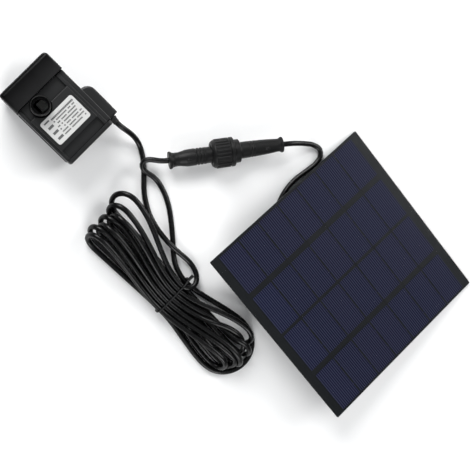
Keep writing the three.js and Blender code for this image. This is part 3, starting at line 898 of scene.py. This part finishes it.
pumpRelief = moved(reliefMesh(59.7, 2.8, 4.2, 2.3, 5), y=cableHousing["axis"], z=14)
addPiece("pumpRelief", pumpRelief, pumpPlace, rubberFinish, "pump",
         ("cable_grommet",))
print("label, feet and relief made")


# Connector, in its own frame: X along it from the plug's cable end

turnJoint = joints["nut_turn"]
connectorAxis = Vector(turnJoint["axis"])
connectorPlace = (Matrix.Translation(turnJoint["pos_m"])
                  @ connectorAxis.to_track_quat("X", "Z").to_matrix().to_4x4() @ toMetres)

plug = {"nose": 44.0, "noseRadius": 5.5, "grooves": (19.2, 21.5, 23.8), "grip": 13.5}
nut = {"start": 29.8, "end": 45.4, "radius": 10.2, "ribs": 24, "rib": 0.55, "bore": 7.9}
socket = {"start": 35.0, "end": 80.7, "grooves": (57.4, 59.3), "grip": 69.0, "pinRow": 2.3}


def groove(radius, place, depth=0.45, width=0.5):
    return [(radius, place - width), (radius - depth, place - width * 0.4),
            (radius - depth, place + width * 0.4), (radius, place + width)]


# Two oval thumb marks, opposite each other, that stand a little proud of the body
def withMarks(body, place, radius):
    steps = []
    for degrees in (18, 198):
        work = bmesh.new()
        bmesh.ops.create_uvsphere(work, u_segments=28, v_segments=16, radius=1)
        mark = meshFrom(work, "mark")
        mark.transform(Matrix.Diagonal((1.9, 1.25, 0.9, 1)))
        moved(mark, place, 0, radius - 0.45)
        mark.transform(Matrix.Rotation(math.radians(degrees), 4, "X"))
        steps.append(("UNION", mark))
    return combine(body, steps)


def plugMesh():
    nose, radius = plug["nose"], plug["noseRadius"]
    profile = [(0, 0), (6, 0), (6.1, 0.9), (5.9, 1.7), (5.1, 2.6), (4.8, 4.2), (4.8, 7), (5.2, 9.2),
               (5.75, 12), (5.9, 14.5), (5.9, 17.6)]
    for place in plug["grooves"]:
        profile += groove(5.85, place)
    profile += [(5.6, 26), (5.5, 31.4), (7.3, 31.4), (7.3, 33.3), (radius, 33.3),
                (radius, nose - 0.6), (radius - 0.5, nose), (0, nose)]
    return withMarks(turned("plug", profile, 0.3), plug["grip"], 5.8)


# The nut's outside carries straight ribs between a chamfer and a plain band
def nutMesh():
    start, end, radius, rib = nut["start"], nut["end"], nut["radius"], nut["rib"]
    low = radius - rib
    outside = (
        (6.3, start, 0), (radius - 1.9, start, 0), (radius - 1.6, start + 0.15, 0),
        (low - 0.15, start + 1.5, 0), (low, start + 1.8, 0), (low, start + 2.4, 0),
        (low, start + 2.9, 1), (low, end - 3.6, 1), (low, end - 3.1, 0), (low, end - 2.6, 0),
        (radius - 0.1, end - 2.3, 0), (radius, end - 2.0, 0), (radius, end - 0.3, 0),
        (radius - 0.3, end, 0), (nut["bore"] + 0.3, end, 0), (nut["bore"], end - 0.3, 0),
        (nut["bore"], start + 1.3, 0), (6.3, start + 1.3, 0),
    )
    perRib = 8
    count = nut["ribs"] * perRib
    raised = (0, 0.75, 1, 1, 1, 0.75, 0, 0)
    rings = []
    for base, distance, ribbed in outside:
        ring = []
        for i in range(count):
            angle = 2 * math.pi * i / count
            reach = base + ribbed * rib * raised[i % perRib]
            ring.append((distance, reach * math.cos(angle), reach * math.sin(angle)))
        rings.append(ring)
    return skin(rings, "nut", closed=True)


def socketMesh():
    start, end, recess = socket["start"], socket["end"], plug["noseRadius"] + 0.4
    bottom = plug["nose"] + 0.3
    profile = [(0, bottom), (recess, bottom), (recess, start + 0.3), (recess + 0.3, start),
               (7.1, start), (7.4, start + 0.3), (7.4, 45.8), (7.8, 45.8), (8.1, 46.2), (8.1, 49.2),
               (7.7, 49.6), (6.2, 49.9), (5.8, 50.6), (5.75, 55.8)]
    for place in socket["grooves"]:
        profile += groove(5.7, place, 0.35, 0.45)
    profile += [(5.5, 62), (5.3, 67), (4.9, 73), (4.55, 76.5), (4.6, end - 2.4), (5.1, end - 1.7),
                (5.5, end - 1.2), (5.4, end), (0, end)]
    body = turned("socket", profile, 0.3)
    holes = []
    for side in (-1, 1):
        hole = turned("hole", ((0, 44), (1.9, 44), (1.9, 57), (0, 57)), 0.02, 28)
        holes.append(("DIFFERENCE", moved(hole, y=side * socket["pinRow"])))
    return combine(withMarks(body, socket["grip"], 5.2), holes)


plugPiece = addPiece("plugBody", plugMesh(), connectorPlace, connectorFinish, "pump",
                     ("plug_body",))
addPiece("lockNut", nutMesh(), connectorPlace, connectorFinish, "nut",
         ("lock_nut",))
socketPiece = addPiece("socketBody", socketMesh(), connectorPlace, connectorFinish, "panel",
                       ("socket_body",))
print("connector made")


# Panel, in its own frame: X across the strings, Y from the raised edge (-side) to the
# edge on the table (0), Z out of its face. It leans on the junction box.

panel = {
    "edge": (0.09413, 0.0727, 0.0), "yaw": -5.92, "side": 145.0, "board": 1.5,
    "cells": (1.8, 2.05), "laminate": (2.35, 3.15),
    "rows": (1.9, 38.8, 73.7, 110.6), "rowWidth": 32.5,
    "columns": 7, "pitch": 18.9, "cellWidth": 17.6, "margin": 6.8,
    "fingerPitch": 1.56, "stringPitch": 36.2,
}
box = {"near": 85.0, "length": 40.0, "width": 44.0, "depth": 14.2, "lid": 1.8, "corner": 2.5,
       "wall": 1.6, "cableHeight": -7.0}

panelTilt = math.atan2(box["depth"], box["near"])
panelTurn = (Matrix.Rotation(math.radians(panel["yaw"]), 4, "Z")
             @ Matrix.Rotation(-panelTilt, 4, "X"))
panelPlace = Matrix.Translation(panel["edge"]) @ panelTurn @ toMetres
panelX = tuple(panelTurn @ Vector((1, 0, 0)))
panelY = tuple(panelTurn @ Vector((0, 1, 0)))


def boardFinish():
    finish = Finish("panelBoard")
    cloud = finish.noise(90, 4, 0.5)
    weave = finish.noise(1400, 2)
    finish.set(
        baseColor=finish.mix(cloud, (0.0045, 0.0056, 0.0064), (0.0085, 0.0098, 0.0108)),
        roughness=0.42 + (weave - 0.5) * 0.16,
        normal=finish.bump(weave, 0.00001),
        specular=0.14,
    )
    return finish.material


# Blue-black silicon with printed finger lines across each string and two solder ribbons
def cellFinish():
    finish = Finish("solarCell")
    across = finish.along(panelX, panel["edge"]) + panel["side"] / 2
    down = finish.along(panelY, panel["edge"]) + (panel["side"] - panel["margin"])
    column = (down / panel["pitch"]).floor()
    row = (across / panel["stringPitch"]).floor()
    join = finish.node("ShaderNodeCombineXYZ", {}, {0: column * 3.3, 1: row * 7.7})
    cellChance = finish.node("ShaderNodeTexWhiteNoise", {"noise_dimensions": "2D"}, {"Vector": join})
    phase = ((down - column * panel["pitch"]) / panel["fingerPitch"] + 0.25) % 1.0
    reach = abs(phase - 0.5)
    finger = 1.0 - finish.ramp(reach, 0.1, 0.3)
    cloud = finish.noise(70, 3, 0.8)
    fine = finish.noise(900, 3)
    first = finish.ramp(column, 0.0, 1.0)
    blue = finish.mix(first, (0.0034, 0.0064, 0.027), (0.0032, 0.0042, 0.0165))
    violet = finish.mix(cellChance * 0.8, blue, (0.0062, 0.0056, 0.0172))
    base = finish.mix(cloud * 0.4, violet, (0.0024, 0.0032, 0.0125))
    lines = finish.mix(finger * 0.85, base, (0.037, 0.0405, 0.077))
    finish.set(
        baseColor=lines,
        roughness=0.5 + (fine - 0.5) * 0.15,
        normal=finish.bump(finger, 0.00001),
        specular=0.05,
    )
    return finish.material


def filmFinish():
    finish = Finish("clearFilm")
    ripple = finish.noise(120, 2)
    finish.set(
        baseColor=finish.mix(finish.noise(50, 2), (0.012, 0.013, 0.018), (0.02, 0.021, 0.026)),
        roughness=0.3 + (ripple - 0.5) * 0.06,
        normal=finish.bump(ripple, 0.00001),
        alpha=0.035,
    )
    return finish.material


def stringMesh(start):
    low, high = panel["cells"]
    x = start - panel["side"] / 2
    first = panel["margin"] - panel["side"]
    work = bmesh.new()
    for i in range(panel["columns"]):
        y = first + i * panel["pitch"]
        cell = slab("cell", (x, y, low), (x + panel["rowWidth"], y + panel["cellWidth"], high),
                    (0.5,) * 4, 0.06, 0.03)
        work.from_mesh(cell)
        bpy.data.meshes.remove(cell)
    last = first + (panel["columns"] - 1) * panel["pitch"] + panel["cellWidth"]
    ribbons = []
    for share in (0.25, 0.75):
        middle = x + share * panel["rowWidth"]
        ribbons.append(("UNION", slab("ribbon", (middle - 0.5, first + 1, low + 0.05),
                                      (middle + 0.5, last - 1, high - 0.06), (0.2,) * 4, 0.03, 0.03)))
    return combine(meshFrom(work, "cells"), ribbons)


half = panel["side"] / 2
boardMesh = slab("board", (-half, -panel["side"], 0), (half, 0, panel["board"]), (0.8,) * 4, 0.2, 0.2)
addPiece("panelBoard", boardMesh, panelPlace, boardFinish(), "panel",
         ("panel_board",))
silicon = cellFinish()
for number, start in enumerate(panel["rows"], 1):
    addPiece(f"cellString.{number}", stringMesh(start), panelPlace, silicon, "panel",
             (f"cell_string_{number}",))
filmMesh = slab("film", (-half, -panel["side"], panel["laminate"][0]),
                (half, 0, panel["laminate"][1]), (0.8,) * 4, 0.3, 0.05)
addPiece("clearLaminate", filmMesh, panelPlace, filmFinish(), "panel",
         ("front_laminate",))
print("panel made")


# Junction box under the panel, with its lid, screws and cable relief

boxFar = -box["near"] - box["length"]
boxHalf = box["width"] / 2
lidTop = -box["depth"] + box["lid"]


def boxMesh():
    radii = (box["corner"],) * 4
    wall = box["wall"]
    outer = slab("box", (-boxHalf, boxFar, lidTop + 0.3), (boxHalf, -box["near"], -0.3), radii,
                 0.3, 0.4)
    hollow = slab("hollow", (-boxHalf + wall, boxFar + wall, lidTop - 2),
                  (boxHalf - wall, -box["near"] - wall, -0.3 - wall), (1,) * 4, 0.4, 0.2)
    window = slab("window", (-6, boxFar + 6, -3), (6, boxFar + 12, 1), (0.5,) * 4, 0.1, 0.1)
    hole = moved(turned("hole", ((0, -boxHalf - 1), (3.1, -boxHalf - 1), (3.1, -boxHalf + 3),
                                 (0, -boxHalf + 3)), 0.02),
                 y=-box["near"] - box["length"] / 2, z=box["cableHeight"])
    return combine(outer, [("DIFFERENCE", hollow), ("DIFFERENCE", window), ("DIFFERENCE", hole)])


screw = {"inset": 4.2, "radius": 2.0, "slot": 0.5}


def lidMesh():
    plate = slab("lid", (-boxHalf, boxFar, -box["depth"]), (boxHalf, -box["near"], lidTop),
                 (box["corner"],) * 4, 0.3, 0.6)
    pits = []
    for x, y in screwPlaces():
        pit = turned("pit", ((0, -2), (screw["radius"] + 0.3, -2), (screw["radius"] + 0.3, 0.9),
                             (0, 0.9)), 0.02, 32)
        pits.append(("DIFFERENCE", moved(pit, x, y, -box["depth"], upright)))
    return combine(plate, pits)


def screwPlaces():
    reach = screw["inset"]
    return [(x, y) for x in (-boxHalf + reach, boxHalf - reach)
            for y in (boxFar + reach, -box["near"] - reach)]


def screwMesh(x, y):
    radius = screw["radius"]
    head = turned("screw", ((0, 0), (radius - 0.3, 0), (radius, 0.3), (radius, 0.75), (0, 0.75)), 0.12,
                  32)
    head = moved(head, turn=upright)
    cut = []
    for wide, deep in ((radius * 1.2, screw["slot"]), (screw["slot"], radius * 1.2)):
        cutter = slab("slot", (-wide / 2, -deep / 2, -1), (wide / 2, deep / 2, 0.4), (0.1,) * 4, 0.05,
                      0.05)
        cut.append(("DIFFERENCE", cutter))
    return moved(combine(head, cut), x, y, -box["depth"] + 0.1)


steel = metal("screwSteel", (0.5, 0.5, 0.52), 0.35)
addPiece("junctionBox", boxMesh(), panelPlace, boxFinish, "panel", ("junction_box",))
addPiece("junctionLid", lidMesh(), panelPlace, boxFinish, "panel",
         ("junction_box_lid",))
for number, (x, y) in enumerate(screwPlaces(), 1):
    addPiece(f"lidScrew.{number}", screwMesh(x, y), panelPlace, steel, "panel")
panelRelief = moved(reliefMesh(boxHalf + 0.3, 3.3, 4.3, 2.5, 2), turn=Matrix.Rotation(math.pi, 4, "Z"))
panelRelief = moved(panelRelief, y=-box["near"] - box["length"] / 2, z=box["cableHeight"])
addPiece("panelRelief", panelRelief, panelPlace, rubberFinish, "panel",
         ("panel_grommet",))
print("junction box made")


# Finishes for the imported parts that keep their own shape

brass = metal("contactBrass", (0.62, 0.42, 0.12), 0.28)
copper = lined("copperWinding", (0.5, 0.19, 0.07), (0.09, 0.03, 0.012), (1, 0, 0), 0.34, 0.35, 0.85)
stack = lined("laminations", (0.34, 0.35, 0.37), (0.1, 0.1, 0.11), (1, 0, 0), 0.5, 0.45, 0.8)
white = mouldedPlastic("impellerPlastic", (0.6, 0.6, 0.58), 0.38)
magnet = mouldedPlastic("magnetFerrite", (0.04, 0.04, 0.043), 0.6, grain=1100, depth=0.00003)
shaft = mouldedPlastic("shaftCeramic", (0.62, 0.6, 0.55), 0.2, grain=4000, depth=0.000004)
circuit = mouldedPlastic("circuitBoard", (0.02, 0.11, 0.045), 0.45, grain=1200)
chip = mouldedPlastic("chipPlastic", (0.012, 0.012, 0.012), 0.5)
resin = mouldedPlastic("pottingResin", (0.006, 0.006, 0.007), 0.2, grain=300, depth=0.00005)

carried = {
    "impeller_cover": shellFinish, "chamber_seal": rubberFinish, "impeller": white,
    "rotor_magnet": magnet, "rotor_shaft": shaft, "front_bush": rubberFinish,
    "rear_bush": rubberFinish, "stator_core": stack, "left_coil": copper, "right_coil": copper,
    "driver_board": circuit, "driver_chip": chip, "board_capacitor": chip, "potting_resin": resin,
    "seal_ring": rubberFinish, "plug_pin_1": brass, "plug_pin_2": brass,
    "socket_contact_1": brass, "socket_contact_2": brass, "blocking_diode": chip,
    "terminal_tab_1": brass, "terminal_tab_2": brass,
}
for name, finish in carried.items():
    node = frame["nodes"][name]
    node.data.materials.clear()
    node.data.materials.append(finish)
print("packed parts finished")


# Pale table and soft studio lights

studio = {"floor": 14.0, "drop": -0.0002, "zenith": (0.36, 0.37, 0.38), "horizon": (0.16, 0.165, 0.17)}

lamps = (
    {"name": "leftLamp", "place": (-0.75, 0.3, 0.62), "size": 0.55, "power": 9.4},
    {"name": "rearLamp", "place": (0.3, 0.85, 0.6), "size": 0.55, "power": 6.5},
    {"name": "frontLamp", "place": (0.5, -0.75, 0.6), "size": 0.55, "power": 6.5},
)


def floorFinish():
    finish = Finish("paleTable")
    cloud = finish.noise(3, 2)
    finish.set(
        baseColor=finish.mix(cloud, (0.9, 0.9, 0.9), (0.93, 0.93, 0.93)),
        roughness=0.85,
        specular=0.1,
    )
    return finish.material


def addStudio():
    work = bmesh.new()
    bmesh.ops.create_grid(work, x_segments=8, y_segments=8, size=studio["floor"] / 2)
    mesh = meshFrom(work, "paleFloor")
    mesh.transform(Matrix.Translation((0, 0, studio["drop"])))
    mesh.materials.append(floorFinish())
    floor = bpy.data.objects.new("paleFloor", mesh)
    bpy.context.scene.collection.objects.link(floor)
    for lamp in lamps:
        data = bpy.data.lights.new(lamp["name"], "AREA")
        data.shape = "SQUARE"
        data.size = lamp["size"]
        data.energy = lamp["power"]
        light = bpy.data.objects.new(lamp["name"], data)
        light.location = lamp["place"]
        light.rotation_euler = (-Vector(lamp["place"])).to_track_quat("-Z", "Y").to_euler()
        bpy.context.scene.collection.objects.link(light)
    world = bpy.data.worlds.new("paleSky")
    world.use_nodes = True
    sky = Graph(world.node_tree)
    direction = sky.node("ShaderNodeTexCoord", {}, {}, "Generated")
    height = sky.node("ShaderNodeSeparateXYZ", {}, {"Vector": direction}, "Z")
    stops = ((0.5, studio["horizon"]), (0.95, studio["zenith"]))
    glow = sky.node("ShaderNodeValToRGB", {"stops": stops}, {"Fac": height}, "Color")
    sky.feed(world.node_tree.nodes["Background"].inputs["Color"], glow)
    bpy.context.scene.world = world
    bpy.context.scene.view_settings.view_transform = "Standard"


addStudio()
print("studio lit")
